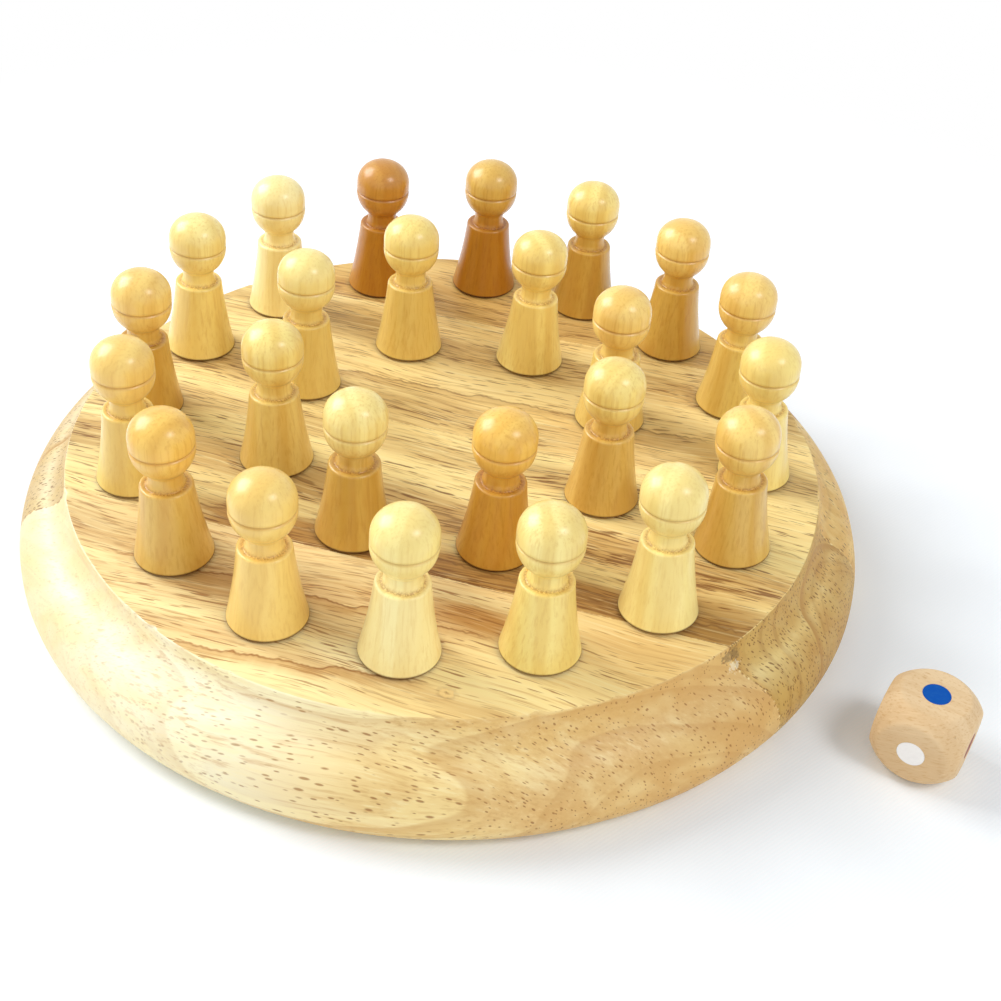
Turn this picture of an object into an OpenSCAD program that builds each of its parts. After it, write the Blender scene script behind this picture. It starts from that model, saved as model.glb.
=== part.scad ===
// Wooden colour-memory peg game: a glued board, 24 turned pegs and a colour die.
// Origin: centre of the board's underside. +Z is up and -Y is the player's side.

/* [Board] */
// Widest diameter, at the bulge of the moulded edge
board_d = 220; // [200:1:260]
// Diameter of the flat top face, inside the moulded edge
top_d = 194; // [180:1:198]
// Thickness
board_t = 28; // [22:0.5:36]
// Height of the edge's widest line above the underside
bulge_h = 7; // [4:0.5:9]
// Part of the edge curve that is hollow, from its top
cove_share = 0.4; // [0.2:0.05:0.6]

/* [Staves] */
// Width of the two inner staves
stave_w = 55; // [45:1:65]
// Distance from the board's centre to the front glue line
front_joint = 50; // [40:1:60]
// Direction of the staves and their grain, turned from +X
grain_turn = -16; // [-45:1:45]

/* [Peg rings] */
// Radius of the outer ring of pegs
outer_ring_r = 80.5; // [74:0.5:82]
// Radius of the inner ring of pegs
inner_ring_r = 45; // [35:0.5:50]
// Turn of the outer ring
outer_turn = -6; // [-11:0.5:11]
// Turn of the inner ring
inner_turn = 16; // [-22:0.5:22]
// How far both rings sit behind the board's centre
rings_back = 3.2; // [0:0.1:4]

/* [Pegs] */
// Height of a seated peg above the board
peg_h = 40; // [37:0.5:46]
// Head diameter
head_d = 15; // [13:0.1:17]
// Height of the groove round the head above the board
groove_z = 31.4; // [30.5:0.1:33]
// Width of the groove
groove_w = 0.7; // [0.4:0.05:1]
// Depth of the groove
groove_deep = 0.5; // [0.2:0.05:0.8]
// Height of the head's straight belly above the groove
belly_h = 1.8; // [0.5:0.1:3]
// How much the underside of the head is drawn down, as an ellipse's half height
jaw_h = 7.6; // [6.5:0.1:8.5]
// Neck diameter
neck_d = 8.2; // [6:0.1:10]
// Height of the shoulder ledge above the board
shoulder_z = 20.8; // [18:0.1:22]
// Diameter of the skirt at the shoulder
shoulder_d = 12.4; // [11:0.1:14]
// Rounding of the shoulder's rim
rim_r = 0.6; // [0.2:0.1:1]
// Diameter of the skirt at its foot
skirt_d = 18.8; // [16:0.1:22]
// How far the skirt's side is hollowed
skirt_hollow = 0.35; // [0:0.05:0.8]

/* [Seating] */
// Diameter of the tenon under a peg
tenon_d = 9; // [7:0.1:12]
// Bevel on the tenon's end
tenon_bevel = 0.6; // [0.2:0.1:1]
// Length of the tenon, from the board's top face to its end
tenon_len = 12; // [8:0.5:15]
// Room between a tenon and its hole, on each side
hole_clearance = 0.25; // [0.05:0.05:0.5]
// Gap under a seated tenon, above the hole's floor
floor_gap = 0.3; // [0.2:0.05:0.6]
// Gap that a seated peg leaves between its skirt and the board
skirt_gap = 0.5; // [0.3:0.05:1]

/* [Paint] */
// Diameter of the colour mark on a tenon's end
mark_d = 6.4; // [4:0.1:7]
// Diameter of a colour spot on the die
spot_d = 6.5; // [5:0.1:9]
// Thickness of the paint, which lies in a shallow recess
paint_t = 0.3; // [0.2:0.05:0.5]
// Room round the paint's edge in its recess
paint_gap = 0.05; // [0.02:0.01:0.1]

/* [Die] */
// Side of the die
die_side = 21; // [16:0.5:24]
// Diameter of the ball that the die is turned down to, over its side
die_ball_share = 1.26; // [1.18:0.01:1.4]
// Distance on the table from the board's edge to the middle of the die
die_gap = 27; // [20:0.5:60]
// Direction of the die from the board's centre, turned from +X
die_bearing = -33.7; // [-80:0.1:-10]
// Turn of the die about its upright axis
die_turn = -32; // [-45:1:45]

/* [Hidden] */
outer_count = 16;
inner_count = 8;
peg_count = outer_count + inner_count;
stave_count = 4;
fine = 96;
hole_fine = 48;
die_fine = 128;
reach = board_d;
through = 1;

board_r = board_d / 2;
edge_run = (board_d - top_d) / 2;
edge_drop = board_t - bulge_h;
edge_turn = 2 * atan(edge_run / edge_drop);
edge_sum = edge_drop / sin(edge_turn);
cove_r = edge_sum * cove_share;
bull_r = edge_sum - cove_r;

head_r = head_d / 2;
neck_r = neck_d / 2;
skirt_r = skirt_d / 2;
shoulder_r = shoulder_d / 2;
tenon_r = tenon_d / 2;
mark_r = mark_d / 2;
spot_r = spot_d / 2;
die_ball_r = die_side * die_ball_share / 2;
die_away = board_r + die_gap;
jaw_top_z = groove_z - groove_w / 2;
belly_top_z = groove_z + groove_w / 2 + belly_h;
dome_h = peg_h - belly_top_z;
jaw_end = acos(neck_r / head_r);
tenon_end_z = -tenon_len;
hole_depth = tenon_len + floor_gap;

// Part of each gap that a fully leaning peg takes up
lean_use = 0.85;
// A peg leans until its tenon meets the wall, its skirt the board or its end the floor
lean_max = min(
    atan(lean_use * hole_clearance / (tenon_len / 2)),
    asin(lean_use * skirt_gap / skirt_r),
    asin(lean_use * floor_gap / tenon_r)
);
// How each peg leans in its hole, to the right and to the back, as a share of the most
PEG_LEANS = [
    [0.5, 0], [0, 0], [-0.5, 0.5], [-1, 0], [-1, 0], [0, 0], [0, 0], [0, -0.5],
    [0.5, 0], [0.5, -0.5], [0, 0], [1, 0], [1, 0], [0, 0], [-0.5, 0], [0, 0],
    [0.5, -0.5], [0, 0.5], [0, 0], [0.5, 0], [0, 0.5], [0.5, 0.5], [0, 0], [0.5, 0]
];

pale = [0.95, 0.86, 0.62];
golden = [0.91, 0.75, 0.44];
honey = [0.83, 0.58, 0.26];
brown = [0.66, 0.42, 0.19];
board_wood = [0.87, 0.72, 0.50];
die_wood = [0.86, 0.74, 0.57];
PAINTS = [
    [0.05, 0.32, 0.72], [0.96, 0.96, 0.95], [0.55, 0.12, 0.10],
    [0.95, 0.78, 0.12], [0.12, 0.50, 0.24], [0.09, 0.09, 0.09]
];
PAINT_NAMES = ["blue", "white", "red", "yellow", "green", "black"];
paint_count = len(PAINTS);

// Wood of each peg, outer ring first, counted anticlockwise from the front
PEG_WOODS = [
    pale, golden, pale, golden, pale, golden, honey, honey,
    brown, brown, pale, golden, golden, pale, golden, pale,
    honey, golden, golden, golden, golden, pale, golden, golden
];

function two_digits(i) = i < 10 ? str("0", i) : str(i);
function stave_name(i) = str("stave_", i + 1);
function peg_name(i) = str("peg_", two_digits(i + 1));
function mark_name(i) = str("mark_", two_digits(i + 1));
function spot_name(i) = str("spot_", PAINT_NAMES[i]);

// Points on an ellipse about [x, z], from angle a to angle b
function bow(x, z, rx, rz, a, b, steps) =
    [for (i = [0 : steps]) let (t = a + (b - a) * i / steps) [x + rx * cos(t), z + rz * sin(t)]];

// Centre of peg i, seen from above
function ring_spot(r, angle) = [r * sin(angle), rings_back - r * cos(angle)];
function peg_spot(i) = i < outer_count
    ? ring_spot(outer_ring_r, outer_turn + i * 360 / outer_count)
    : ring_spot(inner_ring_r, inner_turn + (i - outer_count) * 360 / inner_count);

// The colours are dealt out mixed, each to as many pegs
function peg_paint(i) = (i * (paint_count - 1) + floor(i / paint_count)) % paint_count;

module at_hole(i) {
    translate([peg_spot(i).x, peg_spot(i).y, board_t]) children();
}

// Leans its child about the middle of the tenon's length
module at_peg(i) {
    lean = PEG_LEANS[i] * lean_max;
    at_hole(i) translate([0, 0, -tenon_len / 2])
        rotate([-lean.y, lean.x, 0])
            translate([0, 0, tenon_len / 2]) children();
}

// Half section of the board: rounded foot, bulge, cove and flat top
module board_section() {
    polygon(concat(
        [[0, 0]],
        bow(board_r - bulge_h, bulge_h, bulge_h, bulge_h, -90, 0, 8),
        bow(board_r - bull_r, bulge_h, bull_r, bull_r, edge_turn / 10, edge_turn, 9),
        bow(top_d / 2 + cove_r, board_t, cove_r, cove_r, 180 + edge_turn * 0.9, 180, 9),
        [[0, board_t]]
    ));
}

// Slab that cuts stave i out of the board; the outer two run past its edge
module stave_slab(i) {
    from = i == 0 ? -reach : -front_joint + (i - 1) * stave_w;
    to = i == stave_count - 1 ? reach : -front_joint + i * stave_w;
    rotate([0, 0, grain_turn])
        translate([-reach, from, -through])
            cube([2 * reach, to - from, board_t + 2 * through]);
}

module peg_hole() {
    translate([0, 0, -hole_depth])
        cylinder(r = tenon_r + hole_clearance, h = hole_depth + through, $fn = hole_fine);
}

module stave(i) {
    color(board_wood)
        difference() {
            intersection() {
                rotate_extrude($fn = fine) board_section();
                stave_slab(i);
            }
            for (k = [0 : peg_count - 1]) at_hole(k) peg_hole();
        }
}

// Side of the skirt from its foot up to the shoulder's rim, slightly hollowed
function skirt_side(steps) =
    [for (i = [0 : steps]) let (u = i / steps)
        [skirt_r + (shoulder_r - skirt_r) * u - 4 * skirt_hollow * u * (1 - u),
         skirt_gap + (shoulder_z - rim_r - skirt_gap) * u]];

// Half section of a peg, with its zero at the board's top face
module peg_section() {
    polygon(concat(
        [[0, tenon_end_z + paint_t],
         [mark_r + paint_gap, tenon_end_z + paint_t],
         [mark_r + paint_gap, tenon_end_z],
         [tenon_r - tenon_bevel, tenon_end_z],
         [tenon_r, tenon_end_z + tenon_bevel],
         [tenon_r, skirt_gap]],
        skirt_side(8),
        bow(shoulder_r - rim_r, shoulder_z - rim_r, rim_r, rim_r, 18, 90, 4),
        [[neck_r, shoulder_z]],
        bow(0, jaw_top_z, head_r, jaw_h, -jaw_end, 0, 10),
        [[head_r - groove_deep, groove_z],
         [head_r, groove_z + groove_w / 2]],
        bow(0, belly_top_z, head_r, dome_h, 0, 90, 16)
    ));
}

module peg(i) {
    color(PEG_WOODS[i])
        at_peg(i) rotate_extrude($fn = fine) peg_section();
}

module mark(i) {
    color(PAINTS[peg_paint(i)])
        at_peg(i) translate([0, 0, tenon_end_z])
            cylinder(r = mark_r, h = paint_t, $fn = hole_fine);
}

// Puts its child on the table where the die lies, with the die's middle at zero
module at_die() {
    translate([die_away * cos(die_bearing), die_away * sin(die_bearing), die_side / 2])
        rotate([0, 0, die_turn]) children();
}

// Turns +Z to the outward direction of face i: blue is up, white front, red right
FACE_TURNS = [[0, 0, 0], [90, 0, 0], [0, 90, 0], [0, -90, 0], [-90, 0, 0], [180, 0, 0]];
module at_face(i) {
    rotate(FACE_TURNS[i]) translate([0, 0, die_side / 2 - paint_t]) children();
}

// A cube turned down to a ball, which leaves a round flat face on each side
module die() {
    color(die_wood)
        at_die() difference() {
            intersection() {
                cube(die_side, center = true);
                sphere(r = die_ball_r, $fn = die_fine);
            }
            for (i = [0 : paint_count - 1]) at_face(i)
                cylinder(r = spot_r + paint_gap, h = paint_t + through, $fn = hole_fine);
        }
}

module spot(i) {
    color(PAINTS[i])
        at_die() at_face(i) cylinder(r = spot_r, h = paint_t, $fn = hole_fine);
}

for (i = [0 : stave_count - 1])
    stave(i);
for (i = [0 : peg_count - 1])
    peg(i);
for (i = [0 : peg_count - 1])
    mark(i);
die();
for (i = [0 : paint_count - 1])
    spot(i);
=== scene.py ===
"""A wooden colour-memory peg game: a glued rubberwood board, 24 turned pegs and a colour die."""

import bmesh
import bpy
import numpy as np
from mathutils import Matrix, Vector


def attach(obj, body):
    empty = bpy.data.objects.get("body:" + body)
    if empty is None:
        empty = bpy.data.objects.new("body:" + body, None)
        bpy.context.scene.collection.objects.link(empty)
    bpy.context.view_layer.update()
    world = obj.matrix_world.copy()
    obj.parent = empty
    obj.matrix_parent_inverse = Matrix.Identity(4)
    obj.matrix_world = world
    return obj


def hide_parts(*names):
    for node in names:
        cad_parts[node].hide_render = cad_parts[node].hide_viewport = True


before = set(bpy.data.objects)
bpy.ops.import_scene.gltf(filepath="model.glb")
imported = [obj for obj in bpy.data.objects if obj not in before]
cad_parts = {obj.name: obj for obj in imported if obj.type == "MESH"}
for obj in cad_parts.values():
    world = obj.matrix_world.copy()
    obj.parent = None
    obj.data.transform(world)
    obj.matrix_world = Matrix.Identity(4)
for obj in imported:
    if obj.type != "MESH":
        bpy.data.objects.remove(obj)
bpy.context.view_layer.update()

MM = 0.001
TURN = 2 * np.pi

# Board, in millimetres
BOARD_R = 110.0
TOP_R = 97.0
BOARD_T = 28.0
BULGE_H = 7.0
COVE_SHARE = 0.4
STAVE_W = 55.0
FRONT_JOINT = 50.0
STAVE_COUNT = 4
GRAIN_TURN = np.radians(-16)
TOP_EDGE_SOFT = 0.45
EDGE_DENTS = 46
DENT_SIZES = (0.5, 1.7)
DENT_DEPTHS = (0.1, 0.38)
EDGE_WANDER = 0.035
HOLE_BREAK = 0.25
SLAB_REACH = 150.0
SLAB_SPARE = 5.0
BOARD_AROUND = 900

# Rings of pegs
OUTER_RING_R = 80.5
INNER_RING_R = 45.0
OUTER_TURN = -6.0
INNER_TURN = 16.0
RINGS_BACK = 3.2
OUTER_COUNT = 16
INNER_COUNT = 8
PEG_COUNT = OUTER_COUNT + INNER_COUNT

# A peg, with its zero at the board's top face
PEG_H = 40.0
HEAD_R = 7.5
GROOVE_Z = 31.4
GROOVE_W = 0.7
GROOVE_DEEP = 0.5
BELLY_H = 1.8
JAW_H = 7.6
DOME_POWER = 2.15
GROOVE_HALF = GROOVE_W * 0.62
NECK_R = 4.1
NECK_FLARE = 0.4
SHOULDER_Z = 20.8
SHOULDER_R = 6.2
RIM_R = 0.6
SKIRT_R = 9.4
SKIRT_HOLLOW = 0.35
TENON_R = 4.5
TENON_BEVEL = 0.6
TENON_LEN = 12.0
HOLE_CLEARANCE = 0.25
FLOOR_GAP = 0.3
SKIRT_GAP = 0.5
MARK_R = 3.2
PAINT_T = 0.3
PAINT_GAP = 0.05
PEG_AROUND = 96
LEAN_USE = 0.85
LEAN_MAX = min(
    np.arctan(LEAN_USE * HOLE_CLEARANCE / (TENON_LEN / 2)),
    np.arcsin(LEAN_USE * SKIRT_GAP / SKIRT_R),
    np.arcsin(LEAN_USE * FLOOR_GAP / TENON_R),
)
PEG_LEANS = [
    (0.5, 0), (0, 0), (-0.5, 0.5), (-1, 0), (-1, 0), (0, 0), (0, 0), (0, -0.5),
    (0.5, 0), (0.5, -0.5), (0, 0), (1, 0), (1, 0), (0, 0), (-0.5, 0), (0, 0),
    (0.5, -0.5), (0, 0.5), (0, 0), (0.5, 0), (0, 0.5), (0.5, 0.5), (0, 0), (0.5, 0),
]

# Die
DIE_SIDE = 21.0
DIE_BALL_R = DIE_SIDE * 1.26 / 2
DIE_SOFT = 0.18
DIE_AWAY = BOARD_R + 27.0
DIE_BEARING = np.radians(-33.7)
DIE_TURN = np.radians(-32)
SPOT_R = 3.25
DIE_AROUND = 160
DIE_RINGS = 34


# ---------------------------------------------------------------- small helpers for shapes

def srgb(*levels):
    """Turns sRGB levels from 0 to 255 into linear light, with full opacity."""
    c = np.array(levels) / 255.0
    linear = np.where(c <= 0.04045, c / 12.92, ((c + 0.055) / 1.055) ** 2.4)
    return tuple(linear) + (1.0,)


def bow(x, z, rx, rz, a, b, steps):
    """Points on an ellipse: centre (x, z) plus (rx cos t, rz sin t), t from a to b degrees."""
    t = np.radians(np.linspace(a, b, steps + 1))
    return np.stack([x + rx * np.cos(t), z + rz * np.sin(t)], axis=1)


def straight(x0, z0, x1, z1, steps):
    """Points on a straight line from (x0, z0) to (x1, z1), in equal steps."""
    return np.linspace((x0, z0), (x1, z1), steps + 1)


def chain(*runs):
    """Joins runs of profile points and drops a point that repeats the one before it."""
    points = np.concatenate(runs)
    keep = np.ones(len(points), bool)
    keep[1:] = np.abs(np.diff(points, axis=0)).max(axis=1) > 1e-6
    return points[keep]


def ripple(seed, waves, places, lengths):
    """A smooth random value: the mean of sine waves with seeded directions, lengths and phases.

    places has one row of coordinates for each point, and lengths is (shortest, longest).
    """
    dice = np.random.default_rng(seed)
    total = np.zeros(len(places))
    for _ in range(waves):
        way = dice.normal(size=places.shape[1])
        way /= np.linalg.norm(way)
        length = dice.uniform(*lengths)
        total += np.sin(places @ way * TURN / length + dice.uniform(0, TURN))
    return total / np.sqrt(waves)


def new_object(name, verts, faces):
    """Puts points in millimetres and faces into a mesh object at the origin, in metres."""
    mesh = bpy.data.meshes.new(name)
    mesh.from_pydata((np.asarray(verts) * MM).tolist(), [], faces)
    mesh.validate()
    item = bpy.data.objects.new(name, mesh)
    bpy.context.collection.objects.link(item)
    return item


def smooth(item, degrees=35):
    """Shades the faces smoothly, with a crisp edge wherever two of them meet more steeply."""
    mesh = item.data
    mesh.polygons.foreach_set("use_smooth", np.ones(len(mesh.polygons), bool))
    mesh.set_sharp_from_angle(angle=np.radians(degrees))
    mesh.update()


def ring_faces(rows, around):
    """Quads between rows of a closed ring grid, whose points are numbered row by row."""
    i, j = np.meshgrid(np.arange(rows - 1), np.arange(around), indexing="ij")
    k = (j + 1) % around
    a = i * around + j
    b = i * around + k
    return np.stack([a, b, b + around, a + around], axis=-1).reshape(-1, 4)


def turned(profile, around, first_pole, last_pole):
    """Turns a profile about the upright axis: point = (r cos t, r sin t, z), t once round.

    The profile runs from bottom to top with the wood on its left. At each end the ring is
    closed by a fan to a pole, or by one flat face if the pole is None.
    """
    rows = len(profile)
    t = np.arange(around) * TURN / around
    r, z = profile[:, :1], profile[:, 1:]
    verts = np.stack(
        [r * np.cos(t), r * np.sin(t), np.broadcast_to(z, (rows, around))], axis=-1
    ).reshape(-1, 3)
    faces = ring_faces(rows, around).tolist()
    ring = np.arange(around)
    last = (rows - 1) * around + ring
    for row, pole, flip in ((ring, first_pole, True), (last, last_pole, False)):
        if pole is None:
            faces.append((row[::-1] if flip else row).tolist())
            continue
        middle = len(verts)
        verts = np.vstack([verts, [[0.0, 0.0, pole]]])
        following = np.roll(row, -1)
        fan = (following, row) if flip else (row, following)
        faces += np.stack([fan[0], fan[1], np.full(around, middle)], axis=1).tolist()
    return verts, faces


# ---------------------------------------------------------------- small helpers for finishes

class Nodes:
    """A node tree, with short calls that add a node and wire its inputs."""

    def __init__(self, tree):
        self.tree = tree

    def put(self, socket, value):
        """Links a node's output to the socket, or writes a plain value into it."""
        if isinstance(value, bpy.types.NodeSocket):
            self.tree.links.new(value, socket)
        elif value is not None:
            socket.default_value = value

    def add(self, kind, values=(), **settings):
        """Adds a node, with settings by name and values by input name or number."""
        node = self.tree.nodes.new(kind)
        for key, setting in settings.items():
            setattr(node, key, setting)
        for key, value in dict(values).items():
            self.put(node.inputs[key], value)
        return node

    def seen(self):
        """1 for rays from the camera, or that reach it by a mirror or through glass, else 0."""
        path = self.add("ShaderNodeLightPath").outputs
        return self.math("MAXIMUM", path["Is Camera Ray"], self.math(
            "MAXIMUM", path["Is Glossy Ray"], path["Is Transmission Ray"]))

    def place(self):
        """Object coordinates, in metres."""
        return self.add("ShaderNodeTexCoord").outputs["Object"]

    def own(self, name):
        """A value that the piece's mesh carries at each point."""
        return self.add("ShaderNodeAttribute", attribute_name=name)

    def turn(self, vector, shift=(0, 0, 0), rotate=(0, 0, 0), scale=(1, 1, 1)):
        """Scales, turns and then shifts a vector."""
        node = self.add("ShaderNodeMapping", {
            "Vector": vector, "Location": shift, "Rotation": rotate, "Scale": scale})
        return node.outputs["Vector"]

    def vector(self, operation, a, b):
        node = self.add("ShaderNodeVectorMath", {0: a, 1: b}, operation=operation)
        return node.outputs["Vector"]

    def math(self, operation, a, b=None, clamp=False):
        node = self.add("ShaderNodeMath", {0: a}, operation=operation, use_clamp=clamp)
        if b is not None:
            self.put(node.inputs[1], b)
        return node.outputs["Value"]

    def times(self, product, *values):
        """The product of all values."""
        for value in values:
            product = self.math("MULTIPLY", product, value)
        return product

    def split(self, vector):
        """The three numbers of a vector."""
        return self.add("ShaderNodeSeparateXYZ", {0: vector}).outputs

    def join(self, x, y, z):
        return self.add("ShaderNodeCombineXYZ", {0: x, 1: y, 2: z}).outputs[0]

    def noise(self, vector, scale=1.0, detail=2.0, rough=0.5, bend=0.0, kind="Fac"):
        """Cloudy noise, about 0.5 on average."""
        node = self.add("ShaderNodeTexNoise", {
            "Vector": vector, "Scale": scale, "Detail": detail,
            "Roughness": rough, "Distortion": bend})
        return node.outputs[kind]

    def bands(self, distance, scale=1.0, detail=2.0, rough=0.5):
        """Noise along one length only: bands of unequal width."""
        node = self.add("ShaderNodeTexNoise", {
            "W": distance, "Scale": scale, "Detail": detail, "Roughness": rough},
            noise_dimensions="1D")
        return node.outputs["Fac"]

    def cells(self, vector, scale=1.0):
        """Scattered cells: the distance to the nearest middle, and that cell's own numbers."""
        node = self.add("ShaderNodeTexVoronoi", {"Vector": vector, "Scale": scale})
        return node.outputs["Distance"], self.split(node.outputs["Color"])

    def fade(self, value, start, stop, low=0.0, high=1.0):
        """Goes smoothly from low to high as the value goes from start to stop."""
        node = self.add("ShaderNodeMapRange", {
            "Value": value, "From Min": start, "From Max": stop,
            "To Min": low, "To Max": high}, interpolation_type="SMOOTHSTEP")
        return node.outputs["Result"]

    def mix(self, share, a, b, blend="MIX"):
        """Mixes colour b over colour a."""
        node = self.add("ShaderNodeMix", data_type="RGBA", blend_type=blend)
        self.put(node.inputs["Factor"], share)
        self.put(node.inputs[6], a)
        self.put(node.inputs[7], b)
        return node.outputs[2]

    def bump(self, height, distance, strength=1.0, under=None):
        node = self.add("ShaderNodeBump", {
            "Strength": strength, "Distance": distance, "Height": height})
        if under is not None:
            self.put(node.inputs["Normal"], under)
        return node.outputs["Normal"]


class Finish(Nodes):
    """One material and its node tree."""

    def __init__(self, name):
        self.material = bpy.data.materials.new(name)
        self.material.use_nodes = True
        super().__init__(self.material.node_tree)
        self.shader = self.tree.nodes["Principled BSDF"]
        self.out = self.tree.nodes["Material Output"]

    def set(self, **values):
        """Writes or links the shader's inputs; an underscore in a name stands for a space."""
        names = {s.name.lower(): s for s in self.shader.inputs}
        for key, value in values.items():
            self.put(names[key.replace("_", " ")], value)
        return self.material


# ---------------------------------------------------------------- wood of the board

STAVE_APART = 400.0  # between one stave's wood and the next one's, in the noise
STREAK_ROOM = 0.065  # how much easier a streak opens where the streaks crowd
LINE_END = 14  # the length over which a growth line thins out
KNOT_LONG = 0.75  # a knot's width as a share of its length


class StaveFinish(Finish):
    """Rubberwood of one stave, as a solid: growth rings, fibre, dark streaks and open pores.

    In the grain's own frame u runs along the stave, v across it and w up, in millimetres.
    A ring is noise along the distance to the heart, and a pore is a long thin cell.
    """

    def __init__(self, number, look):
        super().__init__("board_wood_%d" % number)
        self.look = look
        self.grain = self.turn(self.place(), (0, 0, 0), (0, 0, -GRAIN_TURN), (1000, 1000, 1000))
        self.along, self.across, self.high = self.split(self.grain)
        sway = self.vector("SUBTRACT", self.noise(
            self.vector("MULTIPLY", self.grain, (0.012, 0.025, 0.025)), detail=2, kind="Color"),
            (0.5, 0.5, 0.5))
        self.swayed = self.vector("ADD", self.grain, self.vector("MULTIPLY", sway, (0, 14, 8)))
        self.wood = self.vector("ADD", self.swayed, (STAVE_APART * number, 0, 0))
        _, self.v, w = self.split(self.wood)
        heart_v, heart_w = look["heart"]
        self.from_heart = self.math("SQRT", self.math(
            "ADD",
            self.math("POWER", self.math("SUBTRACT", self.v, heart_v), 2),
            self.math("POWER", self.math("SUBTRACT", w, heart_w), 2)))

        # How the surface lies: cut across the grain, or flat on top
        normal = self.add("ShaderNodeNewGeometry").outputs["Normal"]
        facing = self.add("ShaderNodeVectorMath", {
            0: normal, 1: (np.cos(GRAIN_TURN), np.sin(GRAIN_TURN), 0)},
            operation="DOT_PRODUCT").outputs["Value"]
        self.end_grain = self.fade(self.math("ABSOLUTE", facing), 0.15, 0.75)
        self.planed = self.fade(self.split(normal)[2], 0.93, 0.985)

        # Cloudy changes of tone, and the fibre
        broad = self.bands(self.from_heart, 0.09, 2, 0.55)
        self.cloud = self.noise(self.stretched(self.wood, 0.014, 0.09), detail=2)
        self.tone = self.math("ADD", self.times(broad, 0.5), self.times(self.cloud, 0.5))
        self.thread = self.turn(self.wood, rotate=(0.6, 0, 0))
        self.fibre = self.noise(self.stretched(self.thread, 0.035, 1.1), detail=3, rough=0.65)
        self.fine = self.noise(self.stretched(self.thread, 0.13, 1.8), detail=1, rough=0.5)
        start_low, start, stop = look["plain_end"]
        self.plain = self.fade(self.along, start, stop, start_low, 1)
        self.crowd = 0.0
        self.colour = look["pale"]

    def stretched(self, vector, along, across):
        """The place scaled by one number along the grain and by another across it."""
        return self.vector("MULTIPLY", vector, (along, across, across))

    def gap(self, vector, point, scale=(1, 1, 1)):
        """How far the place is from a point, once both are scaled."""
        away = self.vector("MULTIPLY", self.vector("SUBTRACT", vector, point), scale)
        return self.add("ShaderNodeVectorMath", {0: away}, operation="LENGTH").outputs["Value"]

    def lay(self, share, shade):
        """Lays a shade over the colour so far; a plain word is one of the look's shades."""
        if isinstance(shade, str):
            shade = self.look[shade]
        self.colour = self.mix(share, self.colour, shade)

    def lay_rings(self):
        """Growth rings: broad ones from pale to tan, narrow ones in brown."""
        narrow = self.bands(self.from_heart, 0.42, 2, 0.6)
        self.lay(self.fade(self.tone, 0.38, 0.62), "tan")
        self.lay(self.fade(narrow, 0.5, 0.75, 0, self.look["rings"]), "brown")

    def lay_painted_light_and_tone(self):
        """Broad sweeps of colour, mostly on the moulded side: near-white ones on the left are
        painted light from the key softbox, darker ones to the right are partly painted shade and
        partly the wood's tone. Each is (slope, start, stop, strength, shade).
        """
        side = self.fade(self.planed, 0, 1, 1, 0.15)
        cloudy = self.fade(self.cloud, 0.36, 0.56, 0.55, 1)
        for slope, start, stop, strength, shade in self.look["painted_light_and_tone"]:
            reach = self.math("SUBTRACT", self.along, self.times(self.v, slope))
            self.lay(self.times(self.fade(reach, start, stop, 0, strength), side, cloudy), shade)

    def lay_painted_sheen(self):
        """Painted sheen: soft light streaks on the moulded side, in place of the wood's shifting
        lustre.
        """
        sheen_noise = self.noise(self.stretched(self.wood, 0.02, 0.2), detail=1, rough=0.5)
        side = self.fade(self.planed, 1, 0)
        self.lay(self.times(self.fade(sheen_noise, 0.46, 0.72, 0, 0.45), side), "light")

    def lay_zones(self):
        """Zones where the streaks crowd together: (middle, half width, strength, from, to)."""
        zone = 0.0
        for middle, half, strength, start, stop in self.look["zones"]:
            off = self.math("ABSOLUTE", self.math("SUBTRACT", self.v, middle))
            here = self.times(self.fade(off, half, half * 0.3, 0, strength),
                              self.fade(self.along, start, stop))
            zone = self.math("MAXIMUM", zone, here)
        self.crowd = self.math(
            "ADD", zone, self.fade(self.tone, 0.42, 0.6, 0, self.look["crowd"]))
        tint = self.math("MULTIPLY", zone, self.look["zone_tint"], True)
        self.lay(self.times(tint, self.planed), "brown")

    def lay_patches(self):
        """Soft patches on the top: (along, across, length, width, strength, shade)."""
        for u, v, long, wide, strength, shade in self.look["patches"]:
            off = self.gap(self.swayed, (u, v, 0), (1 / long, 1 / wide, 0))
            self.lay(self.times(self.planed, self.fade(off, 1.1, 0.3, 0, strength)), shade)

    def lay_fibre(self):
        """Fine long streaks of light and dark, nearly gone where the grain is cut across."""
        soft = self.math("SUBTRACT", 1, self.times(self.end_grain, 0.9))
        dark = self.fade(self.fibre, 0.50, 0.70, 0, self.look["fibre"])
        self.lay(self.times(soft, dark), "brown")
        self.lay(self.times(soft, self.fade(self.fibre, 0.48, 0.30, 0, 0.45)), "light")

    def lay_oil(self):
        """Cut across the grain, wood drinks more oil and looks darker."""
        oiled = self.mix(1.0, self.colour, self.look["oiled"], "MULTIPLY")
        self.lay(self.times(self.end_grain, self.look["end_grain"]), oiled)

    def lay_streaks(self):
        """Dark streaks, where the planed face opens the long vessels."""
        coarse = self.noise(self.stretched(self.thread, 0.06, 1.15), detail=2, rough=0.55)
        room = self.times(self.crowd, STREAK_ROOM)
        short = self.fade(self.math("ADD", self.fine, room), 0.60, 0.71)
        long = self.fade(self.math("ADD", coarse, room), 0.63, 0.75, 0, 0.8)
        uneven = self.fade(self.noise(self.stretched(self.wood, 0.02, 0.22), detail=1),
                           0.38, 0.56, 0.45, 1.0)
        share = self.times(self.planed, self.math("MAXIMUM", short, long), uneven)
        self.lay(self.times(share, self.look["streaks"]), "streak")

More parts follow.
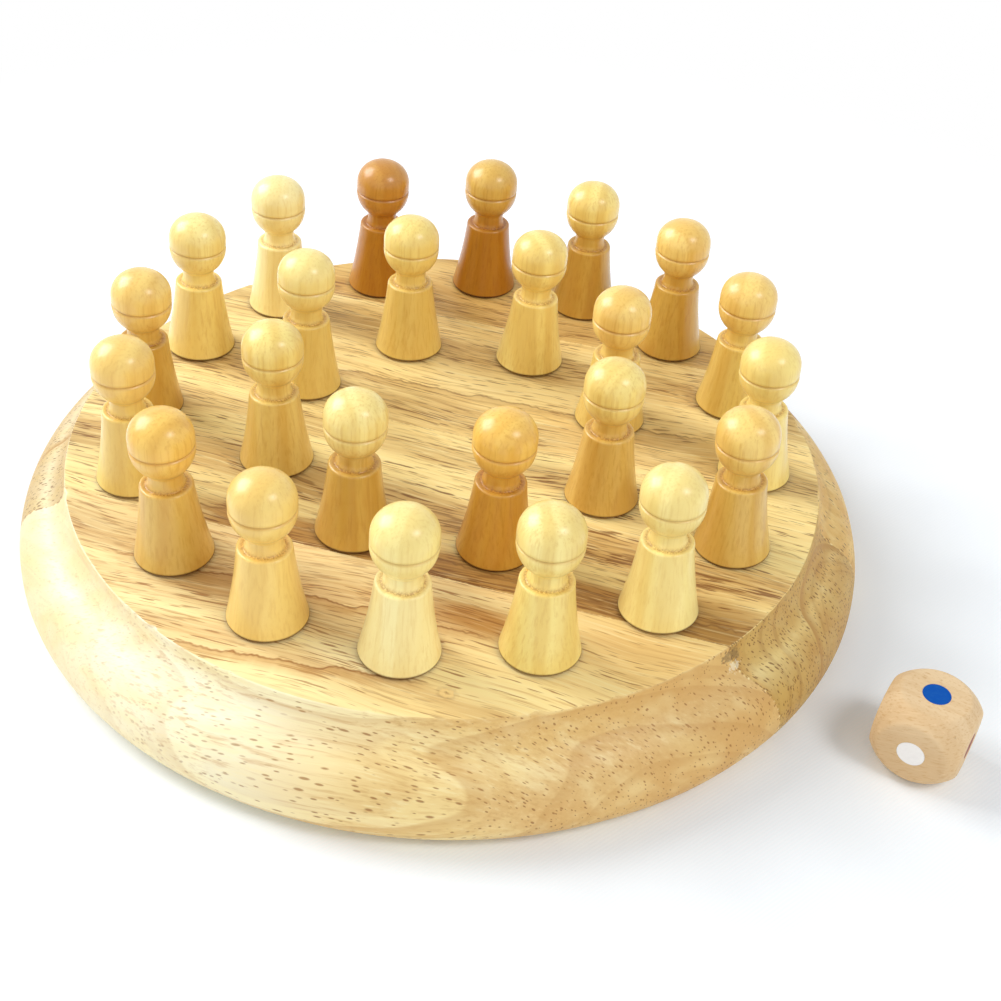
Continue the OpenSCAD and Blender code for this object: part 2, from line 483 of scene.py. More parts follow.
    def lay_pores(self):
        """Open pores: scattered cells, flattened in the section and a little longer along it.

        Each size of pore is (cell's width, radius, share of the cells that have a pore).
        """
        pores = 0.0
        section = self.vector("MULTIPLY", self.wood, (0.16, 1, 0.6))
        for wide, radius, share in self.look["pores"]:
            distance, own = self.cells(section, 1 / wide)
            reach = self.math("ADD", self.times(own[0], 0.5 * radius), 0.65 * radius)
            hollow = self.fade(self.math("DIVIDE", self.times(distance, wide), reach), 1.0, 0.5)
            there = self.fade(own[2], share, share - 0.1)
            pores = self.math("MAXIMUM", pores, self.times(hollow, there))
        side = self.fade(self.planed, 0, 1, self.look["pore_strength"], 0.0)
        self.lay(self.times(pores, side, self.plain), "pore")

    def lay_glue_lines(self):
        """Glue lines on both sides of the stave: faint on top, dotted on the moulded side."""
        broken = self.noise(self.join(self.times(self.along, 0.9), 0, self.high), 1.0, 1)
        shown = self.fade(self.planed, 0, 1, 1, 0.3)
        for joint in self.look["joints"]:
            off = self.math("ABSOLUTE", self.math("SUBTRACT", self.across, joint))
            near = self.times(self.fade(off, 0.4, 0.1), shown)
            self.lay(self.times(near, self.fade(broken, 0.5, 0.6, 0, 0.6)), "pore")
            self.lay(self.times(near, self.fade(broken, 0.46, 0.36, 0, 0.7)), "light")

    def lay_ring_lines(self):
        """Growth lines on the moulded side: (distance from the heart, strength)."""
        side = self.fade(self.planed, 0, 1, 1, 0.2)
        for distance, strength in self.look["ring_lines"]:
            beyond = self.math("SUBTRACT", self.from_heart, distance)
            line = self.times(self.fade(beyond, -2.2, -0.1, 0, strength),
                              self.fade(beyond, 0.35, 0.0), self.plain)
            self.lay(self.times(line, side), "brown")

    def lay_lines(self):
        """Single dark growth lines on the top, each with one soft brown side.

        A line is (across at u = 0, slope, from, to, half width, strength, shade of its side).
        """
        waver = self.math("SUBTRACT", self.bands(self.along, 0.11, 3, 0.6), 0.5)
        ragged = self.fade(self.fibre, 0.3, 0.55, 0.45, 1.0)
        for at, slope, start, stop, half, strength, shade in self.look["lines"]:
            path = self.math("ADD", self.times(self.along, slope),
                             self.math("ADD", at, self.times(waver, 5)))
            beyond = self.math("SUBTRACT", self.across, path)
            span = self.times(self.planed, self.fade(self.along, start, start + LINE_END),
                              self.fade(self.along, stop, stop - LINE_END))
            soft_side = self.times(self.fade(beyond, -4.5, -0.2, 0, shade),
                                   self.fade(beyond, 0.5, 0.0))
            self.lay(self.times(soft_side, span), "brown")
            line = self.fade(self.math("ABSOLUTE", beyond), half, 0, 0, strength)
            self.lay(self.times(line, ragged, span), "pore")

    def lay_knots(self):
        """Small tight knots in the top: (along, across, radius)."""
        for u, v, r in self.look["knots"]:
            uneven = self.math("SUBTRACT", self.noise(self.grain, 0.9, 2), 0.5)
            off = self.math("ADD", self.gap(self.grain, (u, v, 0), (KNOT_LONG, 1, 0)),
                            self.times(uneven, 1.3))
            self.lay(self.times(self.planed, self.fade(off, r, r * 0.7, 0, 0.7)), "tan")
            edge = self.fade(
                self.math("ABSOLUTE", self.math("SUBTRACT", off, r)), r * 0.4, 0, 0, 0.2)
            middle = self.fade(off, r * 0.45, 0, 0, 0.7)
            self.lay(self.times(self.planed, self.math("MAXIMUM", edge, middle)), "pore")

    def lay_torn_spots(self):
        """Torn spots at a glue line: (along, across, up, radius, shade)."""
        for u, v, w, r, shade in self.look["torn"]:
            uneven = self.math("SUBTRACT", self.noise(self.grain, 1.3, 2), 0.5)
            off = self.math("ADD", self.gap(self.grain, (u, v, w)),
                            self.times(uneven, 5))
            self.lay(self.fade(off, r, r * 0.45, 0, 0.6), shade)


def board_finish(number, look):
    """One stave's finish: the wood's ground colour, and all its marks laid over it in turn."""
    f = StaveFinish(number, look)
    f.lay_rings()
    # Painted light on the left of the moulded side, and painted shade with tone to the right
    f.lay_painted_light_and_tone()
    # Painted sheen on the moulded side
    f.lay_painted_sheen()
    f.lay_zones()
    f.lay_patches()
    f.lay_fibre()
    f.lay_oil()
    f.lay_streaks()
    f.lay_pores()
    f.lay_glue_lines()
    f.lay_ring_lines()
    f.lay_lines()
    f.lay_knots()
    f.lay_torn_spots()
    lie = f.bump(f.math("ADD", f.fibre, f.fade(f.fine, 0.6, 0.7, 0, -0.6)), 0.00007, 0.5)
    return f.set(
        base_color=f.colour, normal=lie,
        roughness=f.fade(f.fibre, 0.3, 0.7, 0.42, 0.58), specular_ior_level=0.3,
        coat_weight=0.15, coat_roughness=0.32, ior=1.45)


PLAIN_LOOK = {
    "oiled": srgb(228, 208, 168), "rings": 0.4, "fibre": 0.5, "crowd": 0.7, "streaks": 0.75,
    "end_grain": 0.85, "pore_strength": 0.85, "plain_end": (1, 0, 1), "zone_tint": 0.5,
    "pores": [(0.95, 0.28, 0.9), (0.75, 0.18, 0.5)],
    "painted_light_and_tone": [], "zones": [], "patches": [], "lines": [], "knots": [], "ring_lines": [],
    "torn": [],
}
BOARD_LOOKS = [
    {**PLAIN_LOOK, "heart": (-76, -7), "joints": [-50],
     "pale": srgb(255, 236, 170), "tan": srgb(246, 212, 140), "brown": srgb(200, 150, 82),
     "light": srgb(255, 240, 186), "pore": srgb(158, 106, 54), "streak": srgb(162, 108, 54),
     "oiled": srgb(232, 212, 178), "rings": 0.35, "fibre": 0.45, "crowd": 0.5, "streaks": 0.8,
     "end_grain": 0.7, "pore_strength": 0.8, "plain_end": (0.2, -65, 15), "zone_tint": 0.4,
     "pores": [(0.86, 0.23, 0.9), (0.62, 0.17, 0.7)],
     # Near-white on the left is painted light from the key softbox; the tan ones to the right
     # are partly painted shade
     "painted_light_and_tone": [(0.77, 115, 125, 0.75, srgb(225, 190, 142)),
                (0.77, 86, 102, 0.7, srgb(230, 194, 126)),
                (0.77, 104, 56, 0.9, srgb(255, 252, 224))],
     "zones": [(-60, 9, 1.0, 60, 10), (-74, 9, 0.7, 38, 8), (-87, 6, 0.5, 36, 0)],
     "patches": [(27, -62, 16, 7, 1.0, "brown"), (4, -82, 14, 7, 0.8, "light"),
                 (-32, -70, 22, 6, 0.6, "brown"), (70, -57, 34, 14, 0.9, "tan"),
                 (66, -56, 20, 6, 0.3, "brown")],
     "lines": [(-66, 0.02, -66, 36, 0.5, 0.9, 0.6), (-86.5, 0.12, -46, 26, 0.6, 0.9, 0.6)],
     "knots": [(27, -85, 1.5)],
     "ring_lines": [(22, 0.3), (28, 0.35), (34.5, 0.4), (39, 0.35)],
     "torn": [(82.8, -50.8, 25.6, 2.2, srgb(120, 98, 66)),
              (84.6, -50.6, 22.6, 1.6, srgb(240, 230, 200))]},
    {**PLAIN_LOOK, "heart": (-9, 4), "joints": [-50, 5],
     "pale": srgb(255, 234, 162), "tan": srgb(244, 212, 138), "brown": srgb(186, 142, 76),
     "light": srgb(255, 242, 184), "pore": srgb(124, 82, 38), "streak": srgb(126, 80, 36),
     "oiled": srgb(198, 174, 134), "rings": 0.3, "crowd": 0.8, "streaks": 0.85,
     "end_grain": 0.9, "pore_strength": 0.8, "zone_tint": 0.8,
     "pores": [(0.8, 0.28, 0.95), (0.6, 0.18, 0.7)],
     # Near-white on the left: painted light from the key softbox
     "painted_light_and_tone": [(0, -40, -80, 0.9, srgb(252, 244, 210))],
     "zones": [(-45, 8, 1.5, -60, -35), (-26, 9, 0.8, -140, -130), (-4, 7, 0.5, 120, 40)],
     "patches": [(77, -38, 20, 7, 0.8, "brown")],
     "lines": [(-44.5, 0.0, -60, 104, 0.6, 0.6, 0.4)], "ring_lines": [(22.0, 0.9)],
     "torn": [(83.6, -49.0, 25.2, 2.6, srgb(116, 96, 66)),
              (84.8, -49.6, 22.4, 1.4, srgb(236, 226, 196))]},
    {**PLAIN_LOOK, "heart": (34, 92), "joints": [5, 60],
     "pale": srgb(254, 230, 160), "tan": srgb(238, 204, 130), "brown": srgb(184, 140, 74),
     "light": srgb(255, 240, 182), "pore": srgb(120, 78, 36), "streak": srgb(132, 86, 40),
     # Near-white on the left: painted light from the key softbox
     "painted_light_and_tone": [(0, -50, -90, 0.7, srgb(248, 234, 190))],
     "zones": [(14, 7, 0.8, -140, -130), (44, 9, 0.7, -140, -130)],
     "lines": [(24, 0.03, -60, 70, 0.6, 0.5, 0.4)], "ring_lines": [(64.0, 0.4)]},
    {**PLAIN_LOOK, "heart": (70, -70), "joints": [60],
     "pale": srgb(240, 206, 130), "tan": srgb(218, 174, 96), "brown": srgb(170, 122, 56),
     "light": srgb(246, 220, 154), "pore": srgb(118, 76, 36), "streak": srgb(126, 80, 36),
     "zones": [(66, 7, 0.8, -140, -130)], "ring_lines": [(90.0, 0.3)]},
]


# ---------------------------------------------------------------- board

def board_profile():
    """Half section of the moulded board: rounded foot, bulge, cove and a softened top edge.

    Three arcs run from the foot to the top, as a workshop's ogee cutter leaves them, and a
    small quarter arc takes the sharpness off the top edge.
    """
    run = BOARD_R - TOP_R
    drop = BOARD_T - BULGE_H
    turn = 2 * np.degrees(np.arctan(run / drop))
    both = drop / np.sin(np.radians(turn))
    cove_r = both * COVE_SHARE
    bull_r = both - cove_r
    soft = TOP_EDGE_SOFT
    return chain(
        [[BOARD_R - BULGE_H - 1.0, 0.0]],
        bow(BOARD_R - BULGE_H, BULGE_H, BULGE_H, BULGE_H, -90, 0, 16),
        bow(BOARD_R - bull_r, BULGE_H, bull_r, bull_r, 0, turn, 22),
        bow(TOP_R + cove_r, BOARD_T, cove_r, cove_r, 180 + turn, 184, 16),
        bow(TOP_R - soft, BOARD_T - soft, soft, soft, 4, 90, 5),
        [[TOP_R - soft - 0.8, BOARD_T]],
    )


def board_blank():
    """The whole turned board in one closed skin, with the small dents that handling leaves.

    A dent draws points near its middle inwards and down by depth * exp(-(distance/size)^2).
    """
    verts, faces = turned(board_profile(), BOARD_AROUND, None, None)
    edge = np.hypot(verts[:, 0], verts[:, 1]) > TOP_R - 0.7
    high = verts[:, 2] > BOARD_T - 2.5
    wander = ripple(5, 9, verts, (14, 60))
    inward = verts[:, :2] / np.hypot(verts[:, 0], verts[:, 1])[:, None]
    moulded = edge & (verts[:, 2] > 0.5) & ~(verts[:, 2] > BOARD_T - 1e-6)
    verts[moulded, :2] -= inward[moulded] * (0.05 + EDGE_WANDER * wander[moulded])[:, None]
    dice = np.random.default_rng(11)
    for _ in range(EDGE_DENTS):
        angle = dice.uniform(0, TURN)
        size = dice.uniform(*DENT_SIZES)
        deep = dice.uniform(*DENT_DEPTHS)
        centre = np.array([TOP_R * np.cos(angle), TOP_R * np.sin(angle), BOARD_T])
        reach = np.linalg.norm(verts - centre, axis=1) / size
        pull = deep * np.exp(-reach ** 2) * (edge & high)
        verts[:, :2] -= inward * pull[:, None]
        verts[:, 2] -= 0.8 * pull
    return new_object("board_blank", verts, faces)


def peg_spots():
    """Centres of the peg holes: (R sin a, back - R cos a), the outer ring first."""
    outer = np.radians(OUTER_TURN + np.arange(OUTER_COUNT) * 360 / OUTER_COUNT)
    inner = np.radians(INNER_TURN + np.arange(INNER_COUNT) * 360 / INNER_COUNT)
    a = np.concatenate([outer, inner])
    r = np.repeat([OUTER_RING_R, INNER_RING_R], [OUTER_COUNT, INNER_COUNT])
    return np.stack([r * np.sin(a), RINGS_BACK - r * np.cos(a)], axis=1)


def hole_cutter():
    """All the drilled holes as one tool: straight bores with a lightly broken upper edge."""
    r = TENON_R + HOLE_CLEARANCE
    floor = -(TENON_LEN + FLOOR_GAP)
    wide = r + HOLE_BREAK
    profile = np.array([[r, floor], [r, -HOLE_BREAK], [wide, 0.0], [wide, 1.0]])
    bore, faces = turned(profile, 72, floor, 1.0)
    verts = []
    every = []
    for n, spot in enumerate(peg_spots()):
        verts.append(bore + [spot[0], spot[1], BOARD_T])
        every += [[k + n * len(bore) for k in face] for face in faces]
    return new_object("hole_cutter", np.vstack(verts), every)


def stave_slab(i):
    """The slab of stave i between its two glue lines, longer and higher than the board."""
    far = SLAB_REACH
    low = -far if i == 0 else -FRONT_JOINT + (i - 1) * STAVE_W
    high = far if i == STAVE_COUNT - 1 else -FRONT_JOINT + i * STAVE_W
    x, y, z = np.meshgrid(
        [-far, far], [low, high], [-SLAB_SPARE, BOARD_T + SLAB_SPARE], indexing="ij")
    points = np.stack([x, y, z], axis=-1).reshape(-1, 3)
    c, s = np.cos(GRAIN_TURN), np.sin(GRAIN_TURN)
    points[:, :2] = points[:, :2] @ np.array([[c, s], [-s, c]])
    faces = [(0, 1, 3, 2), (4, 6, 7, 5), (0, 4, 5, 1), (2, 3, 7, 6), (0, 2, 6, 4), (1, 5, 7, 3)]
    return new_object("stave_slab", points, faces)


def cut(item, tool, operation):
    """Cuts an object with another one and keeps the result as the object's own mesh."""
    step = item.modifiers.new("cut", "BOOLEAN")
    step.operation = operation
    step.solver = "EXACT"
    step.object = tool
    ready = item.evaluated_get(bpy.context.evaluated_depsgraph_get())
    mesh = bpy.data.meshes.new_from_object(ready)
    item.modifiers.clear()
    item.data = mesh


def make_board():
    """Four staves: the blank cut by each slab and drilled, each with its own run of wood."""
    blank = board_blank()
    drill = hole_cutter()
    for i in range(STAVE_COUNT):
        name = "board_stave_%d" % (i + 1)
        stave = bpy.data.objects.new(name, blank.data.copy())
        bpy.context.collection.objects.link(stave)
        slab = stave_slab(i)
        cut(stave, slab, "INTERSECT")
        cut(stave, drill, "DIFFERENCE")
        bpy.data.objects.remove(slab)
        stave.data.name = name
        smooth(stave, 32)
        stave.data.materials.clear()
        stave.data.materials.append(board_finish(i + 1, BOARD_LOOKS[i]))
        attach(stave, "board")
        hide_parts("stave_%d" % (i + 1))
    bpy.data.objects.remove(blank)
    bpy.data.objects.remove(drill)


# ---------------------------------------------------------------- pegs

WOOD_TONES = {
    "ivory": (255, 240, 172), "cream": (252, 234, 154), "straw": (250, 228, 140),
    "wheat": (247, 214, 125), "marigold": (246, 202, 100), "corn": (235, 206, 116),
    "gold": (224, 186, 95), "amber": (212, 172, 80), "honey": (210, 158, 60),
    "caramel": (204, 148, 60), "toffee": (186, 128, 32),
}
PEG_CONTRASTS = {"pale": 0.45, "golden": 0.7, "honey": 0.8, "brown": 0.8}
# Each peg: (its record slot, tone of the skirt, tone of the head), anticlockwise
PEG_TONES = [
    ("pale", "ivory", "cream"), ("golden", "straw", "cream"),
    ("pale", "cream", "cream"), ("golden", "gold", "wheat"),
    ("pale", "straw", "straw"), ("golden", "corn", "wheat"),
    ("honey", "amber", "wheat"), ("honey", "amber", "straw"),
    ("brown", "toffee", "gold"), ("brown", "toffee", "caramel"),
    ("pale", "ivory", "ivory"), ("golden", "straw", "cream"),
    ("golden", "amber", "wheat"), ("pale", "corn", "wheat"),
    ("golden", "gold", "marigold"), ("pale", "wheat", "wheat"),
    ("honey", "honey", "marigold"), ("golden", "gold", "straw"),
    ("golden", "corn", "wheat"), ("golden", "straw", "straw"),
    ("golden", "corn", "straw"), ("pale", "corn", "cream"),
    ("golden", "corn", "straw"), ("golden", "amber", "cream"),
]


def peg_profile():
    """Half section of a peg, from the recess in its tenon's end to the top of its head.

    The neck's radius is NECK_R plus NECK_FLARE times the fourth power of the distance from its
    middle. The dome is an ellipse with a power of DOME_POWER instead of 2. Returns the points,
    and for each its share of the ledge (torn end grain, with painted shade where it meets the
    neck), of painted shade in the groove and of painted contact shadow at the skirt's lower
    edge.
    """
    end = -TENON_LEN
    jaw_z = GROOVE_Z - GROOVE_HALF
    belly_z = GROOVE_Z + GROOVE_W / 2 + BELLY_H
    foot_r = NECK_R + NECK_FLARE
    jaw_end = np.degrees(np.arccos(foot_r / HEAD_R))
    jaw_foot = jaw_z - JAW_H * np.sin(np.radians(jaw_end))
    t = np.linspace(0, 1, 37)
    top = SHOULDER_Z - RIM_R
    root = 0.4
    foot = 0.14
    side = np.stack([
        SKIRT_R + (SHOULDER_R - SKIRT_R) * t - 4 * SKIRT_HOLLOW * t * (1 - t),
        SKIRT_GAP + (top - SKIRT_GAP) * t], axis=1)
    side = side[side[:, 1] > SKIRT_GAP + foot]
    n = np.linspace(0, 1, 15)
    neck = np.stack([
        NECK_R + NECK_FLARE * (2 * n - 1) ** 4,
        SHOULDER_Z + root + (jaw_foot - SHOULDER_Z - root) * n], axis=1)
    d = np.radians(np.linspace(0, 88, 31))
    dome = np.stack([
        HEAD_R * np.cos(d) ** (2 / DOME_POWER),
        belly_z + (PEG_H - belly_z) * np.sin(d) ** (2 / DOME_POWER)], axis=1)
    g = np.linspace(-1, 1, 9)
    groove = np.stack([
        HEAD_R - 0.7 * GROOVE_DEEP * np.cos(g * np.pi / 2) ** 1.5,
        GROOVE_Z + g * GROOVE_HALF], axis=1)
    points = chain(
        straight(MARK_R + PAINT_GAP, end + PAINT_T, MARK_R + PAINT_GAP, end, 1),
        straight(TENON_R - TENON_BEVEL, end, TENON_R, end + TENON_BEVEL, 2),
        straight(TENON_R, end + TENON_BEVEL, TENON_R, SKIRT_GAP, 4),
        straight(TENON_R, SKIRT_GAP, SKIRT_R - foot, SKIRT_GAP, 6),
        bow(SKIRT_R - foot, SKIRT_GAP + foot, foot, foot, -90, 0, 4),
        side,
        bow(SHOULDER_R - RIM_R, SHOULDER_Z - RIM_R, RIM_R, RIM_R, 18, 90, 6),
        straight(SHOULDER_R - RIM_R, SHOULDER_Z, foot_r + root, SHOULDER_Z, 8),
        bow(foot_r + root, SHOULDER_Z + root, root, root, 270, 180, 5),
        neck,
        bow(0, jaw_z, HEAD_R, JAW_H, -jaw_end, 0, 20),
        groove,
        straight(HEAD_R, GROOVE_Z + GROOVE_HALF, HEAD_R, belly_z, 3),
        dome,
    )
    r, z = points.T
    # The ledge ring: torn end grain, with painted shade in the corner at the neck's root
    near_ledge = np.exp(-((z - SHOULDER_Z) / 0.5) ** 2)
    ledge = near_ledge * np.clip((foot_r + 1.1 - r) / 0.8, 0, 1)
    # Painted contact shadow: the skirt's lowest rim, where the foot stands over the board
    under = ((z < SKIRT_GAP + 0.16) & (r > SKIRT_R - 0.2)).astype(float)
    # Painted shade in the groove's recess
    in_groove = np.exp(-((z - GROOVE_Z) / (0.55 * GROOVE_W)) ** 2)
    return points, ledge, in_groove, under


def peg_frame(i):
    """Rotation and offset that stand peg i in its hole, leaning about its tenon's middle."""
    right, back = np.array(PEG_LEANS[i]) * LEAN_MAX
    lean = Matrix.Rotation(right, 3, "Y") @ Matrix.Rotation(-back, 3, "X")
    spot = peg_spots()[i]
    return np.array(lean), np.array([spot[0], spot[1], BOARD_T - TENON_LEN / 2])


def make_peg(i, finish):
    """One turned peg: its half section carried once round, with a torn fibrous ledge.

    The mesh carries its wood's tint, a place in its own billet of wood, and where it was torn,
    grooved or touches the board: the torn ledge also takes painted shade at the neck's root,
    the groove takes painted shade and the skirt's lower edge a painted contact shadow.
    """
    profile, *shares = peg_profile()
    verts, faces = turned(profile, PEG_AROUND, -TENON_LEN + PAINT_T, PEG_H)
    ledge, in_groove, under = (
        np.concatenate([np.repeat(share, PEG_AROUND), [0, 0]]) for share in shares)
    torn = ripple(100 + i, 14, verts, (0.5, 1.6))
    verts[:, 2] += ledge * (0.03 * torn - 0.03)
    hand = ripple(200 + i, 5, verts, (14, 40))
    body = np.clip((verts[:, 2] - 2.0) / 4, 0, 1)[:, None]
    verts[:, :2] *= 1 + 0.0045 * hand[:, None] * body

    dice = np.random.default_rng(300 + i)
    spin = Matrix.Rotation(dice.uniform(-0.8, 0.8), 3, "Z")
    tip = Matrix.Rotation(dice.uniform(-0.06, 0.06), 3, "X")
    billet = verts @ np.array(tip @ spin).T + dice.uniform(-400, 400, 3)

    _, skirt, head = PEG_TONES[i]
    up = np.clip((verts[:, 2] - 19) / 14, 0, 1)[:, None]
    up = up * up * (3 - 2 * up)
    low_tone, high_tone = (np.array(srgb(*WOOD_TONES[tone])) for tone in (skirt, head))
    tint = low_tone * (1 - up) + high_tone * up

    lean, middle = peg_frame(i)
    verts[:, 2] += TENON_LEN / 2
    verts = verts @ lean.T + middle

    name = "turned_peg_%02d" % (i + 1)
    peg = new_object(name, verts, faces)
    # Torn ledge, painted groove shade and painted contact shadow, carried to the finish
    worked_and_shade = np.stack([ledge, in_groove, under], axis=1)
    for key, kind, field, values in (
            ("tint", "FLOAT_COLOR", "color", tint), ("billet", "FLOAT_VECTOR", "vector", billet),
            ("worked_and_shade", "FLOAT_VECTOR", "vector", worked_and_shade)):
        carried = peg.data.attributes.new(key, kind, "POINT")
        carried.data.foreach_set(field, values.ravel())
    smooth(peg, 40)
    peg.data.materials.append(finish)
    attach(peg, "peg_%02d" % (i + 1))
    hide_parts("peg_%02d" % (i + 1))


def peg_finish(name, contrast):
    """Lacquered close-grained wood: upright fibre and growth bands read from the own billet,
    with painted shade in the groove and at the neck's root, and a painted contact shadow
    along the skirt's lower edge.
    """
    f = Finish(name)
    tint = f.own("tint").outputs["Color"]
    billet = f.own("billet").outputs["Vector"]
    ledge, in_groove, under = f.split(f.own("worked_and_shade").outputs["Vector"])
    sway = f.vector("SUBTRACT", f.noise(
        f.vector("MULTIPLY", billet, (0.09, 0.09, 0.03)), detail=1, kind="Color"),
        (0.5, 0.5, 0.5))
    wood = f.vector("ADD", billet, f.vector("MULTIPLY", sway, (3, 3, 0)))
    band = f.bands(f.split(wood)[0], 0.2, 1, 0.5)
    fibre = f.noise(f.vector("MULTIPLY", wood, (1.5, 1.5, 0.03)), detail=3, rough=0.6)
    mottle = f.noise(f.vector("MULTIPLY", billet, (0.5, 0.5, 0.25)), detail=3, rough=0.7)
    # The last two shades are painted: shade in the groove and the contact shadow under the skirt
    dark, deep, bare, painted_groove_shade, painted_contact_shade = (
        f.mix(1.0, tint, srgb(*levels), "MULTIPLY") for levels in (
            (240, 226, 200), (222, 196, 158), (190, 156, 122), (196, 164, 124), (86, 50, 26)))
    colour = f.mix(f.fade(band, 0.38, 0.62, 0, contrast), tint, dark)
    colour = f.mix(f.fade(fibre, 0.46, 0.70, 0, contrast * 0.55), colour, deep)
    colour = f.mix(f.fade(mottle, 0.48, 0.68, 0, contrast * 0.4), colour, dark)
    ragged = f.noise(f.vector("MULTIPLY", billet, (2.2, 2.2, 2.2)), detail=2, rough=0.6)
    # Torn end grain on the ledge, with painted shade where it meets the neck
    torn = f.mix(f.fade(ragged, 0.36, 0.66), bare, dark)
    colour = f.mix(f.times(ledge, 0.85), colour, torn)
    # Painted shade in the groove
    colour = f.mix(f.times(in_groove, 0.55), colour, painted_groove_shade)
    # Painted contact shadow along the skirt's lower edge
    colour = f.mix(under, colour, painted_contact_shade)
    lie = f.bump(fibre, 0.00004, 0.3)
    lie = f.bump(ragged, 0.0001, f.times(ledge, 0.35), lie)
    return f.set(
        base_color=colour, normal=lie,
        roughness=f.fade(ledge, 0.1, 0.7, 0.42, 0.7), specular_ior_level=0.15,
        coat_weight=0.9, coat_roughness=0.27, ior=1.48)


def make_pegs():
    """All the pegs, each with the wood of its own slot."""
    finishes = {slot: peg_finish("peg_wood_" + slot, contrast)
                for slot, contrast in PEG_CONTRASTS.items()}
    for i in range(PEG_COUNT):
        make_peg(i, finishes[PEG_TONES[i][0]])


# ---------------------------------------------------------------- die and paint

PAINTS = {
    "blue": (0, 82, 176), "white": (254, 253, 252), "red": (138, 34, 26),
    "yellow": (240, 192, 30), "green": (30, 128, 62), "black": (26, 25, 25),
}
PAINT_ORDER = ["blue", "white", "red", "yellow", "green", "black"]
FACE_TURNS = [(0, 0, 0), (90, 0, 0), (0, 90, 0), (0, -90, 0), (-90, 0, 0), (180, 0, 0)]


def die_frame(face):
    """Turn and place of one face of the die, as it lies on the table."""
    x, y, z = np.radians(FACE_TURNS[face])
    turn = Matrix.Rotation(z, 3, "Z") @ Matrix.Rotation(y, 3, "Y") @ Matrix.Rotation(x, 3, "X")
    lie = Matrix.Rotation(DIE_TURN, 3, "Z")
    middle = [DIE_AWAY * np.cos(DIE_BEARING), DIE_AWAY * np.sin(DIE_BEARING), DIE_SIDE / 2]
    return np.array(lie @ turn), np.array(middle)


def make_die():
    """A cube tumbled round: each face is a ring grid from its spot's recess to a square rim.

    A point of the plain cube at distance a from the middle moves in to the soft minimum of
    a and the ball's radius b, which is -k log(exp(-a / k) + exp(-b / k)).
    """
    around = DIE_AROUND
    half = DIE_SIDE / 2
    t = (np.arange(around) + 0.5) * TURN / around
    circle = np.stack([np.cos(t), np.sin(t)], axis=1)
    q = (t + np.pi / 4) % (np.pi / 2) - np.pi / 4
    side = np.round((t - q) / (np.pi / 2)).astype(int) % 4
    along = q / (np.pi / 4)
    c, s = np.array([[1, 0, -1, 0], [0, 1, 0, -1]])[:, side]
    square = np.stack([c - s * along, s + c * along], axis=1)
    edge_r = SPOT_R + PAINT_GAP
    rows = [circle * edge_r * k for k in (0.35, 0.7, 1.0)]
    levels = [half - PAINT_T] * 3
    for w in np.linspace(0, 1, DIE_RINGS):
        rows.append(circle * edge_r * (1 - w) + square * half * w)
        levels.append(half)
    flat = np.concatenate(rows)
    height = np.repeat(levels, around)
    grid = np.column_stack([flat, height])
    away = np.linalg.norm(grid, axis=1, keepdims=True)
    held = -DIE_SOFT * np.log(np.exp(-away / DIE_SOFT) + np.exp(-DIE_BALL_R / DIE_SOFT))
    rounded = grid * held / away
    sunk = np.repeat([1, 1, 1] + [0] * DIE_RINGS, around).astype(bool)
    rounded[sunk] = grid[sunk]
    rounded = np.vstack([rounded, [[0, 0, half - PAINT_T]]])
    faces = ring_faces(len(rows), around)
    fan = np.stack([np.arange(around), (np.arange(around) + 1) % around], axis=1)
    verts = []
    every = []
    for face in range(6):
        turn, middle = die_frame(face)
        shift = face * len(rounded)
        verts.append(rounded @ turn.T + middle)
        every += (faces[:, ::-1] + shift).tolist()
        every += [[b + shift, a + shift, len(rounded) - 1 + shift][::-1] for a, b in fan]
    die = new_object("colour_die", np.vstack(verts), every)
    weld(die)
    smooth(die, 40)
    die.data.materials.append(die_finish())
    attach(die, "die")
    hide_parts("die")


def weld(item):
    """Joins points that lie on each other and turns all faces outwards."""
    work = bmesh.new()
    work.from_mesh(item.data)
    bmesh.ops.remove_doubles(work, verts=work.verts, dist=1e-7)
    bmesh.ops.recalc_face_normals(work, faces=work.faces)
    work.to_mesh(item.data)
    work.free()


def die_finish():
    """Bare beech of the die: fine flecks and faint bands, sanded but not lacquered."""
    f = Finish("die_wood")
    wood = f.turn(f.place(), (0, 0, 0), (0.3, 0.2, -DIE_TURN), (1000, 1000, 1000))
    band = f.bands(f.split(wood)[1], 0.22, 2, 0.6)
    fleck = f.noise(f.vector("MULTIPLY", wood, (0.45, 1.7, 2.6)), detail=3, rough=0.6)
    fibre = f.noise(f.vector("MULTIPLY", wood, (0.05, 1.0, 1.0)), detail=3, rough=0.6)
    colour = f.mix(f.fade(band, 0.35, 0.65), srgb(234, 207, 166), srgb(223, 191, 146))
    colour = f.mix(f.fade(fleck, 0.5, 0.72, 0, 0.6), colour, srgb(204, 160, 106))
    colour = f.mix(f.fade(fibre, 0.55, 0.75, 0, 0.35), colour, srgb(244, 216, 174))
    lie = f.bump(fleck, 0.00006, 0.5)
    return f.set(base_color=colour, normal=lie, roughness=0.62, specular_ior_level=0.3,
                 ior=1.45)


def paint_finish(name):
    """Brushed enamel: nearly even, a little thinner in places, with a soft gloss."""
    f = Finish("paint_" + name)
    place = f.turn(f.place(), scale=(1000, 1000, 1000))
    patch = f.noise(place, 0.8, 2)
    full = srgb(*PAINTS[name])
    thin = srgb(*[0.9 * v + 18 for v in PAINTS[name]])
    colour = f.mix(f.fade(patch, 0.4, 0.75, 0, 0.6), full, thin)
    lie = f.bump(f.noise(place, 1.6, 2), 0.00005, 0.4)
    return f.set(base_color=colour, normal=lie, roughness=0.42, specular_ior_level=0.12,
                 ior=1.48)


